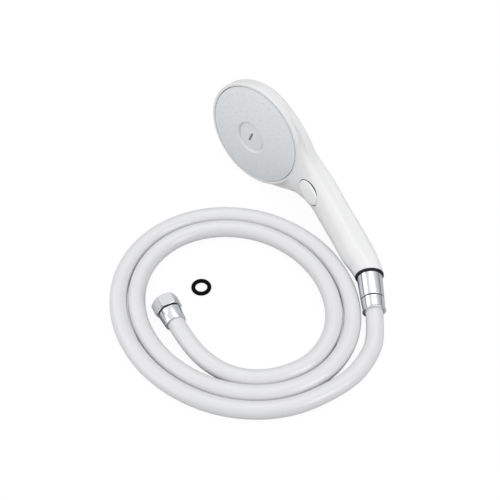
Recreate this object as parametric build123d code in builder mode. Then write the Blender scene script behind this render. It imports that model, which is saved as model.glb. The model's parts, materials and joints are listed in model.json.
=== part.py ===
from build123d import *
import os
from math import atan2, cos, degrees, pi, radians, sin, sqrt, tan

os.makedirs("parts", exist_ok=True)

# Handheld shower head lying on its side with its hose coiled beside it. Millimetres, +Z up, floor at Z = 0.

# Where the handset lies: the face's centre over the floor, and the way face and handle point, in degrees
head_at = (-76.2, -5.11)
face_bearing = -78.4
face_lift = 7.4
handle_dip = 14.55

# Head
plate_radius = 52.0
plate_gap = 0.3
plate_crown = 6.6
plate_thickness = 2.4
skirt_width = 2.8
skirt_depth = 5.2
rim_width = 3.4
rim_draft = 0.8
rim_edge = 1.2
back_knuckle = 7.0
dome_depth = 11.0
shell_wall = 2.4
ledge_width = 3.4
ledge_depth = 2.0
cap_radius = 15.0
cap_groove = 2.3
cap_depth = 1.6
cap_slot_length = 13.0
cap_slot_width = 2.8
cap_slot_depth = 0.8
cap_slot_turn = 72.0
hub_radius = 8.0
hub_bottom = 0.5
nozzle_radius = 0.6
nozzle_margin = 7.0
nozzle_ring_step = 5.6
nozzle_ring_count = 5
nozzle_spacing = 8.4
gasket_thickness = 0.8
chamber_flange = 1.5
chamber_clearance = 5.9
chamber_wall = 1.7
chamber_floor = 1.2
chamber_depth = 13.5
boss_radius = 4.5
boss_shoulder = 7.0
disc_clearance = 6.3
disc_height = -7.0
disc_thickness = 1.5
disc_slots = 8
disc_slot_radius = 3.2
disc_slot_inset = 10.0
screw_radius = 1.5
screw_clearance = 0.2
screw_bite = 0.08
screw_head_radius = 3.5
screw_head_height = 2.1
screw_head_gap = 0.1
screw_length = 11.0
screw_slot_length = 5.6
screw_slot_width = 0.8
screw_slot_depth = 1.0

# Handle: the spine starts at the neck, stations are shares of its length along the face and in front of it
neck_reach = 3.4
neck_height = -8.4
parting_lead = 10.0
handle_length = 123.0
end_bend = 43.2
end_radius = 13.7
# share along, share forward, tilt, half width, front bulge, side wall, rear bulge
stations = (
    (-0.225, -0.005, 3.0, 36.0, 3.0, 6.0, 7.0),
    (-0.109, -0.005, 6.0, 33.5, 4.0, 7.0, 8.0),
    (0.0, 0.0, 9.0, 27.5, 5.0, 9.0, 8.5),
    (0.126, 0.012, 12.0, 21.3, 6.5, 11.0, 8.5),
    (0.26, 0.034, 15.0, 18.0, 8.0, 11.0, 9.5),
    (0.441, 0.087, 17.5, 16.6, 9.5, 10.0, 11.0),
    (0.6475, 0.153, 20.0, 16.0, 10.5, 10.0, 11.0),
    (0.812, 0.22, 23.0, 15.3, 11.0, 9.0, 10.5),
    (0.944, 0.279, 33.0, 14.4, 11.0, 6.0, 10.3),
)
end_share = (1.0, 0.318)
end_wall = 2.0

# Push button and the stop valve below it, measured along the button's own axis from the handle's skin
button_reach = 22.3
button_rise = 14.9
button_tilt = 14.0
button_length = 29.0
button_width = 20.0
button_gap = 0.35
button_proud = 2.0
button_skirt = 3.3
button_lip = 1.0
button_lip_height = 1.0
button_lip_width = 10.0
button_roof = 1.6
button_wall = 1.5
button_edge = 1.4
button_travel = 2.5
button_clearance = 0.5
button_hole_depth = 6.0
post_length = 3.0
post_wall = 0.18
stem_radius = 2.0
stem_fit = 0.08
stem_seal_width = 1.2
stem_seal_height = 0.9
seal_fit = 0.1
bonnet_thickness = 1.6
seat_bore = 4.0
seat_land = 2.5
seat_thickness = 1.2
seat_clearance = 0.2
poppet_overlap = 2.0
poppet_thickness = 1.2
poppet_seal_thickness = 1.5
poppet_play = 0.4
valve_annulus = 2.5
valve_wall = 2.0
valve_floor = 1.4
sump_depth = 5.4
latch_width = 1.6
latch_height = 1.6
latch_clearance = 1.0
latch_teeth = 8
latch_tooth_width = 1.4
latch_tooth_depth = 0.7
spring_wire = 0.6
spring_turns = 4
spring_gap = 0.1
spring_clearance = 0.82
valve_pad_radius = 7.0
duct_width = 18.0
duct_height = 6.4
duct_wall = 1.25
duct_corner = 2.1
duct_level = -10.2
duct_overhang = 7.8
duct_seal_thickness = 1.2
duct_clearance = 0.8
tube_radius = 5.0
tube_bore = 3.6
tube_bend = 30.0
spigot_length = 3.5
spigot_drop = 0.1

# Union between handset and hose, measured along the ferrule from the handle's end
ring_thickness = 2.2
ring_inset = 0.1
thread_radius = 10.4
thread_fit = 0.2
inlet_flange = 4.0
inlet_clearance = 0.8
inlet_spigot = 12.0
inlet_spigot_wall = 1.2
inlet_reach = 12.5
inlet_bore = 4.5
strainer_wall = 3.4
strainer_thickness = 1.0
strainer_fit = 0.1
strainer_hole = 0.7
strainer_step = 1.7
strainer_rings = 3
washer_thickness = 1.6
washer_bore = 5.0
nipple_flange = 1.8
nipple_flange_play = 0.8
nipple_step = 1.2
nipple_wall = 0.9
swivel_gap = 0.3
nut_wall = 1.5
nut_taper = 1.0
nut_length = 24.3
sleeve_wall = 1.7
sleeve_length = 16.0
sleeve_floor = 1.6
barb_fit = 0.2
barb_length = 15.0
barb_count = 3
barb_depth = 0.5

# Hose
hose_diameter = 16.5
hose_bore = 10.8
hose_fit = 0.15
hose_lift = 0.05
coil_at = (53.3, -119.01)
coil_bearing = 13.7
coil_long = 127.2
coil_short = 115.2
coil_pitch = 16.9
coil_start = -5.0
coil_step = 30.0
coil_points = 25
coil_lead = 0.115
coil_dent = 3.0
coil_dent_turn = 55.0
coil_dent_power = 4
hose_first = 35.6
hose_touchdown = (173.0, -65.41)
hose_tail = ((140.2, -140.21), (123.4, -165.81), (97.8, -181.11))
bend_share = 0.45

# Far end of the hose
far_at = (41.5, -182.01)
far_bearing = 168.7
far_straight = 21.0
far_lift = 0.1
far_sleeve_length = 18.5
far_sleeve_wall = 1.5
far_sleeve_flare = 1.2
far_sleeve_floor = 3.0
hex_wall = 1.02
hex_chamfer = 1.2
hex_floor = 1.4
hex_play = 0.5
hex_thread_radius = 10.4775
hex_thread_minor = 9.3155
hex_thread_length = 9.0

# Loose seal of the hose nut, lying on the floor
oring_at = (12.0, -134.51)
oring_radius = 7.6
oring_wire = 2.0

# Sizes that follow from those above
opening_radius = plate_radius + plate_gap
rim_radius = opening_radius + rim_width
back_radius = rim_radius - rim_draft
gasket_bottom = -skirt_depth - gasket_thickness
ledge_top = gasket_bottom - chamber_flange
seam_depth = ledge_depth - ledge_top
chamber_radius = opening_radius - ledge_width - chamber_clearance
duct_seam = rim_radius + duct_overhang
stem_bore = stem_radius + stem_fit
post_radius = stem_bore + post_wall
spring_radius = post_radius + spring_clearance + spring_wire / 2
latch_bore = spring_radius + spring_wire / 2 + latch_clearance
latch_radius = latch_bore + latch_width
poppet_radius = seat_bore + poppet_overlap
sump_radius = seat_bore + seat_land
valve_bore = poppet_radius + valve_annulus
valve_radius = valve_bore + valve_wall
bonnet_top = button_skirt + button_lip_height + button_travel + button_clearance
valve_top = bonnet_top + bonnet_thickness
seat_top = (
    valve_top + poppet_play + poppet_thickness + poppet_seal_thickness + button_travel + seat_clearance
)
sump_top = seat_top + seat_thickness
sump_bottom = sump_top + sump_depth
valve_bottom = sump_bottom + valve_floor
tube_level = valve_top + tube_radius + spigot_drop
hose_radius = hose_diameter / 2
barb_radius = hose_bore / 2 - barb_fit
nipple_radius = hose_bore / 2 + nipple_step
nipple_bore = barb_radius - barb_depth - nipple_wall
nut_radius = thread_radius + thread_fit + nut_wall
sleeve_radius = nut_radius - nut_taper
hex_flats = 2 * (hex_thread_radius + hex_wall)

# Frames of the handset, from the way it lies: the head rests on the floor with the round edge of its back
tilted = radians(face_lift)
head_height = (back_radius - back_knuckle) * cos(tilted) + seam_depth * sin(tilted) + back_knuckle
face_normal = Vector(1, 0, 0).rotate(Axis.Y, -face_lift).rotate(Axis.Z, face_bearing)
level = Vector(0, 0, 1).cross(face_normal).normalized()
down_handle = level.rotate(Axis((0, 0, 0), face_normal), -handle_dip)
head = Plane(origin=(*head_at, head_height), x_dir=down_handle, z_dir=face_normal)


def along(tilt):
    # Direction in the handset's plane of symmetry, turned from the face towards its normal
    return down_handle * cos(radians(tilt)) + face_normal * sin(radians(tilt))


def half_plane(base):
    # Plane of revolution: local X is the radius and local Y runs along the base's normal
    return Plane(origin=base.origin, x_dir=base.x_dir, z_dir=-base.y_dir)


def axis_of(base):
    return Axis(base.origin, base.z_dir)


def spine(share_along, share_forward):
    x = rim_radius + neck_reach + share_along * handle_length
    return Vector(x, 0, neck_height + share_forward * handle_length)


def across(point, tilt):
    # Section plane over the spine: local X is sideways and local Y points to the front
    return Plane(origin=head.from_local_coords(point), x_dir=head.y_dir, z_dir=along(tilt))


symmetry = half_plane(head)
end_centre = spine(*end_share)
end_heading = Vector(cos(radians(end_bend)), 0, sin(radians(end_bend)))
ferrule = across(end_centre, end_bend)
button_point = Vector(rim_radius + neck_reach + button_reach, 0, neck_height + button_rise)
button_frame = Plane(
    origin=head.from_local_coords(button_point), x_dir=along(button_tilt), z_dir=along(button_tilt + 90)
)


def handle_section(plane, half_width, front, wall, rear):
    # Two half ellipses joined by straight side walls, centred on the walls
    with BuildSketch(plane) as section:
        with BuildLine():
            EllipticalCenterArc((0, wall / 2), half_width, front, start_angle=0, arc_size=180)
            Line((-half_width, wall / 2), (-half_width, -wall / 2))
            EllipticalCenterArc((0, -wall / 2), half_width, rear, start_angle=180, arc_size=180)
            Line((half_width, -wall / 2), (half_width, wall / 2))
        make_face()
    return section.sketch


def handle_solid(inset):
    end_bulge = end_radius - end_wall / 2
    last = (*end_share, end_bend, end_radius, end_bulge, end_wall, end_bulge)
    with BuildPart() as solid:
        loft(
            sections=[
                handle_section(across(spine(a, b), tilt), w - inset, front - inset, wall, rear - inset)
                for a, b, tilt, w, front, wall, rear in (*stations, last)
            ]
        )
    return solid.part


def bowl(inset):
    # Arcs of the head's back in the active sketch: a round edge that runs into a shallow cap
    edge_centre = back_radius - back_knuckle
    edge = back_knuckle - inset
    depth = dome_depth - inset
    cap = (edge_centre**2 + depth**2 - edge**2) / (2 * (depth - edge))
    meeting = degrees(atan2(cap - depth, edge_centre))
    CenterArc((edge_centre, -seam_depth), edge, start_angle=0, arc_size=-meeting)
    CenterArc((0, cap - depth - seam_depth), cap, start_angle=-meeting, arc_size=meeting - 90)


with BuildPart() as body_outside:
    with BuildSketch(symmetry):
        with BuildLine():
            Polyline((0, -seam_depth - dome_depth), (0, 0), (rim_radius - rim_edge, 0))
            RadiusArc((rim_radius - rim_edge, 0), (rim_radius, -rim_edge), rim_edge)
            Line((rim_radius, -rim_edge), (back_radius, -seam_depth))
            bowl(0)
        make_face()
    revolve(axis=axis_of(head))
    add(handle_solid(0))

with BuildPart() as body_inside:
    with BuildSketch(symmetry):
        with BuildLine():
            Polyline(
                (0, shell_wall - seam_depth - dome_depth),
                (0, plate_crown),
                (opening_radius, plate_crown),
                (opening_radius, -seam_depth),
                (back_radius - shell_wall, -seam_depth),
            )
            bowl(shell_wall)
        make_face()
    revolve(axis=axis_of(head))
    add(handle_solid(shell_wall))

# Everything in front of the parting line of the two shells
with BuildPart() as front_side:
    parting = [spine(a, b) for a, b, *_ in stations[3:]] + [end_centre]
    parting_points = [(rim_radius - parting_lead, -seam_depth)] + [(p.X, p.Z) for p in parting]
    beyond = end_centre + end_heading * ring_thickness
    reach = 2 * rim_radius
    with BuildSketch(symmetry):
        with BuildLine():
            seam = Spline(*parting_points, tangents=((1, 0), (end_heading.X, end_heading.Z)))
            Polyline(
                seam @ 1,
                (beyond.X, beyond.Z),
                (beyond.X, reach),
                (-reach, reach),
                (-reach, -seam_depth),
                seam @ 0,
            )
        make_face()
    extrude(amount=reach, both=True)

duct_passage = Plane(
    origin=head.from_local_coords((chamber_radius, 0, duct_level)), x_dir=head.y_dir, z_dir=head.x_dir
)

with BuildPart() as front_shell:
    add(body_outside.part)
    add(body_inside.part, mode=Mode.SUBTRACT)
    with BuildSketch(head.offset(-seam_depth)):
        Circle(opening_radius + rim_width / 2)
        Circle(opening_radius - ledge_width, mode=Mode.SUBTRACT)
    extrude(amount=ledge_depth)
    with BuildSketch(duct_passage):
        Rectangle(duct_width + 2 * duct_clearance, duct_height + 2 * duct_clearance)
    extrude(amount=duct_seam - chamber_radius, mode=Mode.SUBTRACT)
    with BuildSketch(button_frame):
        Ellipse(button_length / 2 + button_gap, button_width / 2 + button_gap)
    extrude(amount=button_hole_depth, both=True, mode=Mode.SUBTRACT)
    add(front_side.part, mode=Mode.INTERSECT)

with BuildPart() as back_shell:
    add(body_outside.part)
    add(body_inside.part, mode=Mode.SUBTRACT)
    add(front_side.part, mode=Mode.SUBTRACT)
    with BuildSketch(button_frame.offset(-valve_bottom)):
        Circle(valve_pad_radius)
    extrude(until=Until.NEXT, dir=-button_frame.z_dir)

# Spray plate: a shallow dome with a skirt, a screw hub and rings of nozzle holes
crown_radius = (plate_radius**2 + plate_crown**2) / (2 * plate_crown)


def crown(radius):
    # Height of the plate's outer face at a distance from its axis
    return plate_crown - crown_radius + sqrt(crown_radius**2 - radius**2)


skirt_inside = plate_radius - skirt_width
recess_floor = plate_crown - cap_depth
screw_seat = recess_floor - screw_head_height - screw_head_gap
with BuildPart() as spray_plate:
    with BuildSketch(symmetry):
        with BuildLine():
            dome = ThreePointArc(
                (0, plate_crown), (plate_radius / 2, crown(plate_radius / 2)), (plate_radius, 0)
            )
            Polyline(
                dome @ 1,
                (plate_radius, -skirt_depth),
                (skirt_inside, -skirt_depth),
                (skirt_inside, crown(skirt_inside) - plate_thickness),
            )
            ThreePointArc(
                (skirt_inside, crown(skirt_inside) - plate_thickness),
                (skirt_inside / 2, crown(skirt_inside / 2) - plate_thickness),
                (0, plate_crown - plate_thickness),
            )
            Line((0, plate_crown - plate_thickness), (0, plate_crown))
        make_face()
    revolve(axis=axis_of(head))
    with BuildSketch(head.offset(hub_bottom)):
        Circle(hub_radius)
    extrude(amount=recess_floor - hub_bottom)
    with BuildSketch(head.offset(recess_floor - plate_thickness)):
        Circle(cap_radius + cap_groove + plate_thickness)
    extrude(amount=plate_thickness)
    with BuildSketch(head.offset(recess_floor)):
        Circle(cap_radius + cap_groove)
    extrude(amount=cap_depth, mode=Mode.SUBTRACT)
    with BuildSketch(head.offset(screw_seat)):
        Circle(screw_head_radius + screw_clearance)
    extrude(amount=recess_floor - screw_seat, mode=Mode.SUBTRACT)
    with BuildSketch(head.offset(hub_bottom)):
        Circle(screw_radius + screw_clearance)
    extrude(amount=recess_floor - hub_bottom, mode=Mode.SUBTRACT)
    with BuildSketch(head.offset(-skirt_depth)):
        for k in range(nozzle_ring_count):
            nozzle_ring = plate_radius - nozzle_margin - k * nozzle_ring_step
            with PolarLocations(nozzle_ring, round(2 * pi * nozzle_ring / nozzle_spacing)):
                Circle(nozzle_radius)
    extrude(amount=skirt_depth + plate_crown, mode=Mode.SUBTRACT)

with BuildPart() as centre_cap:
    with BuildSketch(symmetry):
        with BuildLine():
            cap_top = ThreePointArc(
                (0, plate_crown), (cap_radius / 2, crown(cap_radius / 2)), (cap_radius, crown(cap_radius))
            )
            Polyline(cap_top @ 1, (cap_radius, recess_floor), (0, recess_floor), cap_top @ 0)
        make_face()
    revolve(axis=axis_of(head))
    with BuildSketch(head.offset(plate_crown - cap_slot_depth)):
        SlotOverall(cap_slot_length, cap_slot_width, rotation=cap_slot_turn)
    extrude(amount=cap_slot_depth, mode=Mode.SUBTRACT)

with BuildPart() as face_screw:
    with BuildSketch(head.offset(screw_seat)):
        Circle(screw_head_radius)
    extrude(amount=screw_head_height)
    with BuildSketch(head.offset(screw_seat)):
        Circle(screw_radius)
    extrude(amount=-screw_length)
    with BuildSketch(head.offset(screw_seat + screw_head_height)):
        SlotOverall(screw_slot_length, screw_slot_width)
    extrude(amount=-screw_slot_depth, mode=Mode.SUBTRACT)

with BuildPart() as plate_gasket:
    with BuildSketch(head.offset(gasket_bottom)):
        Circle(plate_radius - plate_gap)
        Circle(skirt_inside - plate_gap, mode=Mode.SUBTRACT)
    extrude(amount=gasket_thickness)

# Water chamber: a shallow cup whose flange rests on the front shell's ledge
chamber_inside = chamber_radius - chamber_wall
chamber_bed = chamber_floor - chamber_depth
with BuildPart() as water_chamber:
    with BuildSketch(symmetry):
        with BuildLine():
            Polyline(
                (0, -chamber_depth),
                (chamber_radius, -chamber_depth),
                (chamber_radius, ledge_top),
                (plate_radius - plate_gap, ledge_top),
                (plate_radius - plate_gap, gasket_bottom),
                (chamber_inside, gasket_bottom),
                (chamber_inside, chamber_bed),
                (boss_shoulder, chamber_bed),
                (boss_shoulder, disc_height),
                (boss_radius, disc_height),
                (boss_radius, hub_bottom),
                (0, hub_bottom),
                close=True,
            )
        make_face()
    revolve(axis=axis_of(head))
    with BuildSketch(duct_passage.offset(-chamber_wall)):
        RectangleRounded(duct_width, duct_height, duct_corner)
    extrude(amount=duct_seam - chamber_radius + chamber_wall)
    with BuildSketch(duct_passage.offset(-2 * chamber_wall)):
        RectangleRounded(duct_width - 2 * duct_wall, duct_height - 2 * duct_wall, duct_wall)
    extrude(amount=duct_seam - chamber_radius + 2 * chamber_wall, mode=Mode.SUBTRACT)
    with BuildSketch(head.offset(hub_bottom)):
        Circle(screw_radius + screw_bite)
    extrude(amount=screw_seat - screw_length - screw_bite - hub_bottom, mode=Mode.SUBTRACT)

disc_radius = chamber_inside - disc_clearance
with BuildPart() as spreader_disc:
    with BuildSketch(head.offset(disc_height)):
        Circle(disc_radius)
        Circle(boss_radius + seal_fit, mode=Mode.SUBTRACT)
        with PolarLocations(disc_radius - disc_slot_inset, disc_slots):
            Circle(disc_slot_radius, mode=Mode.SUBTRACT)
    extrude(amount=disc_thickness)

# Stop valve
outlet_frame = Plane(
    origin=head.from_local_coords((duct_seam + duct_seal_thickness, 0, duct_level)),
    x_dir=head.y_dir,
    z_dir=head.x_dir,
)
outlet_reach = button_point.X + valve_bottom * sin(radians(button_tilt)) - duct_seam - duct_seal_thickness
spigot_end = valve_radius + spigot_length
spigot_frame = Plane(
    origin=button_frame.from_local_coords((spigot_end, 0, -tube_level)),
    x_dir=button_frame.y_dir,
    z_dir=button_frame.x_dir,
)
with BuildPart() as valve_body:
    with BuildSketch(button_frame.offset(-valve_bottom)):
        Circle(valve_radius)
    extrude(amount=valve_bottom - valve_top)
    with BuildSketch(spigot_frame):
        Circle(tube_radius)
    extrude(amount=valve_bore - spigot_end)
    with BuildSketch(outlet_frame):
        RectangleRounded(duct_width, duct_height, duct_corner)
    extrude(amount=outlet_reach - sump_radius)
    with BuildSketch(button_frame.offset(-seat_top)):
        Circle(valve_bore)
    extrude(amount=seat_top - valve_top, mode=Mode.SUBTRACT)
    with BuildSketch(button_frame.offset(-sump_bottom)):
        Circle(sump_radius)
    extrude(amount=sump_depth, mode=Mode.SUBTRACT)
    with BuildSketch(button_frame.offset(-seat_top)):
        Circle(seat_bore)
    extrude(amount=-seat_thickness, mode=Mode.SUBTRACT)
    with BuildSketch(spigot_frame):
        Circle(tube_bore)
    extrude(amount=valve_bore - spigot_end - stem_fit, mode=Mode.SUBTRACT)
    with BuildSketch(outlet_frame):
        RectangleRounded(duct_width - 2 * duct_wall, duct_height - 2 * duct_wall, duct_wall)
    extrude(amount=outlet_reach - sump_radius / 2, mode=Mode.SUBTRACT)

with BuildPart() as duct_seal:
    with BuildSketch(outlet_frame):
        RectangleRounded(duct_width, duct_height, duct_corner)
        RectangleRounded(
            duct_width - 2 * duct_wall, duct_height - 2 * duct_wall, duct_wall, mode=Mode.SUBTRACT
        )
    extrude(amount=-duct_seal_thickness)

with BuildPart() as valve_bonnet:
    with BuildSketch(button_frame.offset(-valve_top)):
        Circle(valve_radius)
        Circle(stem_bore, mode=Mode.SUBTRACT)
    extrude(amount=bonnet_thickness)
    with BuildSketch(button_frame.offset(-valve_top)):
        Circle(stem_bore + stem_seal_width + seal_fit)
    extrude(amount=stem_seal_height + seal_fit, mode=Mode.SUBTRACT)

with BuildPart() as stem_seal:
    with BuildSketch(button_frame.offset(seal_fit - valve_top)):
        Circle(stem_bore + stem_seal_width)
        Circle(stem_bore, mode=Mode.SUBTRACT)
    extrude(amount=stem_seal_height)

post_bottom = button_proud - button_roof - post_length
poppet_bottom = seat_clearance + button_travel - seat_top
with BuildPart() as poppet_seal:
    with BuildSketch(button_frame.offset(poppet_bottom)):
        Circle(poppet_radius)
    extrude(amount=poppet_seal_thickness)

with BuildPart() as valve_spindle:
    with BuildSketch(button_frame.offset(poppet_bottom + poppet_seal_thickness)):
        Circle(poppet_radius)
    extrude(amount=poppet_thickness)
    with BuildSketch(button_frame.offset(poppet_bottom + poppet_seal_thickness)):
        Circle(stem_radius)
    extrude(amount=post_bottom - poppet_bottom - poppet_seal_thickness)

button_base = -button_skirt - button_lip_height
with BuildPart() as push_button:
    with BuildSketch(button_frame.offset(button_base)):
        Ellipse(button_length / 2 + button_lip, button_width / 2 + button_lip)
        Rectangle(button_length + 2 * button_lip, button_lip_width, mode=Mode.INTERSECT)
    extrude(amount=button_lip_height)
    with BuildSketch(button_frame.offset(button_base)):
        Ellipse(button_length / 2, button_width / 2)
    extrude(amount=button_proud - button_base)
    button_crown = push_button.faces().sort_by(axis_of(button_frame))[-1]
    fillet(button_crown.edges(), radius=button_edge)
    with BuildSketch(button_frame.offset(button_base)):
        Ellipse(button_length / 2 - button_wall, button_width / 2 - button_wall)
    extrude(amount=button_proud - button_roof - button_base, mode=Mode.SUBTRACT)
    with BuildSketch(button_frame.offset(button_proud - button_roof)):
        Circle(post_radius)
    extrude(amount=-post_length)

with BuildPart() as latch_rotor:
    with BuildSketch(button_frame.offset(-bonnet_top)):
        Circle(latch_radius)
        Circle(latch_bore, mode=Mode.SUBTRACT)
    extrude(amount=latch_height)
    with BuildSketch(button_frame.offset(latch_height - bonnet_top)):
        with PolarLocations((latch_radius + latch_bore) / 2, latch_teeth):
            Rectangle(2 * latch_width, latch_tooth_width)
    extrude(amount=-latch_tooth_depth, mode=Mode.SUBTRACT)

# Return spring between the bonnet and the button's roof
spring_length = bonnet_top + button_proud - button_roof - 2 * spring_gap - spring_wire
spring_base = button_frame.offset(spring_gap + spring_wire / 2 - bonnet_top)
with BuildPart() as return_spring:
    with BuildLine():
        spring_line = Helix(
            pitch=spring_length / spring_turns,
            height=spring_length,
            radius=spring_radius,
            center=spring_base.origin,
            direction=spring_base.z_dir,
        )
    with BuildSketch(Plane(origin=spring_line @ 0, z_dir=spring_line % 0)):
        Circle(spring_wire / 2)
    sweep(path=spring_line)

# Feed tube from the handle's end to the valve, bent where its two straight ends would meet
inlet_end = end_centre - end_heading * inlet_spigot
spigot_local = head.to_local_coords(spigot_frame.origin)
rise_in = tan(radians(button_tilt))
rise_out = tan(radians(end_bend))
bend_drop = inlet_end.Z - spigot_local.Z - rise_out * inlet_end.X + rise_in * spigot_local.X
bend_x = bend_drop / (rise_in - rise_out)
bend_point = Vector(bend_x, 0, spigot_local.Z + rise_in * (bend_x - spigot_local.X))
with BuildPart() as feed_tube:
    with BuildLine():
        tube_line = FilletPolyline(
            spigot_frame.origin,
            head.from_local_coords(bend_point),
            head.from_local_coords(inlet_end),
            radius=tube_bend,
        )
    with BuildSketch(spigot_frame):
        Circle(tube_radius)
        Circle(tube_bore, mode=Mode.SUBTRACT)
    sweep(path=tube_line)

# Union: inlet fitting, black end ring, strainer, washer, union nut
strainer_radius = thread_radius - strainer_wall
strainer_seat = inlet_reach - strainer_thickness
inlet_radius = end_radius - shell_wall - inlet_clearance
with BuildPart() as inlet_fitting:
    with BuildSketch(half_plane(ferrule)):
        with BuildLine():
            Polyline(
                (inlet_bore, -inlet_spigot),
                (tube_radius + inlet_spigot_wall, -inlet_spigot),
                (tube_radius + inlet_spigot_wall, -inlet_flange),
                (inlet_radius, -inlet_flange),
                (inlet_radius, 0),
                (thread_radius, 0),
                (thread_radius, inlet_reach),
                (strainer_radius + strainer_fit, inlet_reach),
                (strainer_radius + strainer_fit, strainer_seat),
                (inlet_bore, strainer_seat),
                close=True,
            )
        make_face()
    revolve(axis=axis_of(ferrule))

with BuildPart() as inlet_strainer:
    with BuildSketch(ferrule.offset(strainer_seat)):
        Circle(strainer_radius)
        for k in range(1, strainer_rings + 1):
            with PolarLocations(k * strainer_step, 6 * k):
                Circle(strainer_hole, mode=Mode.SUBTRACT)
    extrude(amount=strainer_thickness)

with BuildPart() as end_ring:
    with BuildSketch(ferrule):
        Circle(end_radius - ring_inset)
        Circle(thread_radius + thread_fit, mode=Mode.SUBTRACT)
    extrude(amount=ring_thickness)

with BuildPart() as union_washer:
    with BuildSketch(ferrule.offset(inlet_reach)):
        Circle(thread_radius)
        Circle(washer_bore, mode=Mode.SUBTRACT)
    extrude(amount=washer_thickness)

nipple_top = inlet_reach + washer_thickness + swivel_gap
nipple_shoulder = nipple_top + nipple_flange + swivel_gap
nut_end = ring_thickness + nut_length
with BuildPart() as union_nut:
    with BuildSketch(half_plane(ferrule)):
        with BuildLine():
            Polyline(
                (thread_radius + thread_fit, ring_thickness),
                (nut_radius, ring_thickness),
                (sleeve_radius, nut_end),
                (nipple_radius + swivel_gap, nut_end),
                (nipple_radius + swivel_gap, nipple_shoulder),
                (thread_radius + thread_fit, nipple_shoulder),
                close=True,
            )
        make_face()
    revolve(axis=axis_of(ferrule))


def barbs(root, tip):
    # Saw-tooth outline of a nipple inside the hose, from its shoulder to its tip
    step = (tip - root) / barb_count
    teeth = []
    for k in range(barb_count):
        teeth.append((barb_radius, root + k * step))
        teeth.append((barb_radius - barb_depth, root + (k + 1) * step))
    return teeth


nipple_flange_radius = thread_radius - nipple_flange_play
sleeve_start = nut_end + swivel_gap
hose_start = sleeve_start + sleeve_floor
sleeve_end = sleeve_start + sleeve_length
with BuildPart() as hose_nipple:
    with BuildSketch(half_plane(ferrule)):
        with BuildLine():
            Polyline(
                (nipple_bore, nipple_top),
                (nipple_flange_radius, nipple_top),
                (nipple_flange_radius, nipple_top + nipple_flange),
                (nipple_radius, nipple_top + nipple_flange),
                (nipple_radius, hose_start),
                *barbs(hose_start, hose_start + barb_length),
                (nipple_bore, hose_start + barb_length),
                close=True,
            )
        make_face()
    revolve(axis=axis_of(ferrule))

with BuildPart() as crimp_sleeve:
    with BuildSketch(half_plane(ferrule)):
        with BuildLine():
            Polyline(
                (nipple_radius + hose_fit, sleeve_start),
                (sleeve_radius, sleeve_start),
                (hose_radius + hose_fit + sleeve_wall, sleeve_end),
                (hose_radius + hose_fit, sleeve_end),
                (hose_radius + hose_fit, hose_start),
                (nipple_radius + hose_fit, hose_start),
                close=True,
            )
        make_face()
    revolve(axis=axis_of(ferrule))

# Hose: out of the sleeve, down to the floor, round the coil and up to the far nut
floor_line = hose_radius + hose_lift
coil_turn = radians(coil_bearing)
coil_frame = Plane(
    origin=(*coil_at, floor_line), x_dir=(cos(coil_turn), sin(coil_turn), 0), z_dir=(0, 0, 1)
)
coil_swell = 1 / cos(radians(coil_step / 2))


def coil_point(k):
    # Point k of an oval spiral that winds inwards by one pitch a turn, pushed in where the ferrule lies
    turn = coil_start - k * coil_step
    dent = coil_dent * max(0, cos(radians(turn - coil_dent_turn))) ** coil_dent_power
    wound = coil_pitch * (coil_lead + k * coil_step / 360) + dent
    x = (coil_long - wound) * coil_swell * cos(radians(turn))
    y = (coil_short - wound) * coil_swell * sin(radians(turn))
    return coil_frame.from_local_coords((x, y, 0))


far_turn = radians(far_bearing)
far_end = Plane(
    origin=(*far_at, hex_flats / 2 + far_lift),
    x_dir=(-sin(far_turn), cos(far_turn), 0),
    z_dir=(cos(far_turn), sin(far_turn), 0),
)
far_hose_end = far_sleeve_length - far_sleeve_floor
hose_route = [
    ferrule.from_local_coords((0, 0, hose_start)),
    ferrule.from_local_coords((0, 0, hose_start + hose_first)),
    Vector(*hose_touchdown, floor_line),
    *[coil_point(k) for k in range(coil_points)],
    *[Vector(x, y, floor_line) for x, y in hose_tail],
    far_end.from_local_coords((0, 0, -far_straight)),
    far_end.from_local_coords((0, 0, far_hose_end)),
]
hose_runs = [b - a for a, b in zip(hose_route, hose_route[1:])]
hose_bends = [
    bend_share * min(a.length, b.length) / tan(radians(a.get_angle(b)) / 2)
    for a, b in zip(hose_runs, hose_runs[1:])
]
print("hose bend radii", [round(r) for r in hose_bends])

with BuildPart() as hose:
    with BuildLine():
        hose_line = FilletPolyline(*hose_route, radius=hose_bends)
    with BuildSketch(Plane(origin=hose_line @ 0, z_dir=hose_line % 0)):
        Circle(hose_radius)
        Circle(hose_bore / 2, mode=Mode.SUBTRACT)
    sweep(path=hose_line)
hose_section = pi * (hose_radius**2 - (hose_bore / 2) ** 2)
print("hose length", round(hose_line.length))
print("hose volume over section times length", hose.part.volume / hose_section / hose_line.length)

# Far end: crimped sleeve, nipple and hexagon nut
far_sleeve_radius = hose_radius + hose_fit + far_sleeve_wall
hex_start = far_sleeve_length + swivel_gap
hex_shoulder = hex_start + hex_floor
hex_thread_start = hex_shoulder + swivel_gap + nipple_flange + hex_play
hex_end = hex_thread_start + hex_thread_length
far_flange = hex_shoulder + swivel_gap
far_flange_radius = hex_thread_minor - swivel_gap
with BuildPart() as far_sleeve:
    with BuildSketch(half_plane(far_end)):
        with BuildLine():
            Polyline(
                (hose_radius + hose_fit, 0),
                (far_sleeve_radius, 0),
                (far_sleeve_radius + far_sleeve_flare, far_sleeve_length),
                (nipple_radius + hose_fit, far_sleeve_length),
                (nipple_radius + hose_fit, far_hose_end),
                (hose_radius + hose_fit, far_hose_end),
                close=True,
            )
        make_face()
    revolve(axis=axis_of(far_end))

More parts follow.
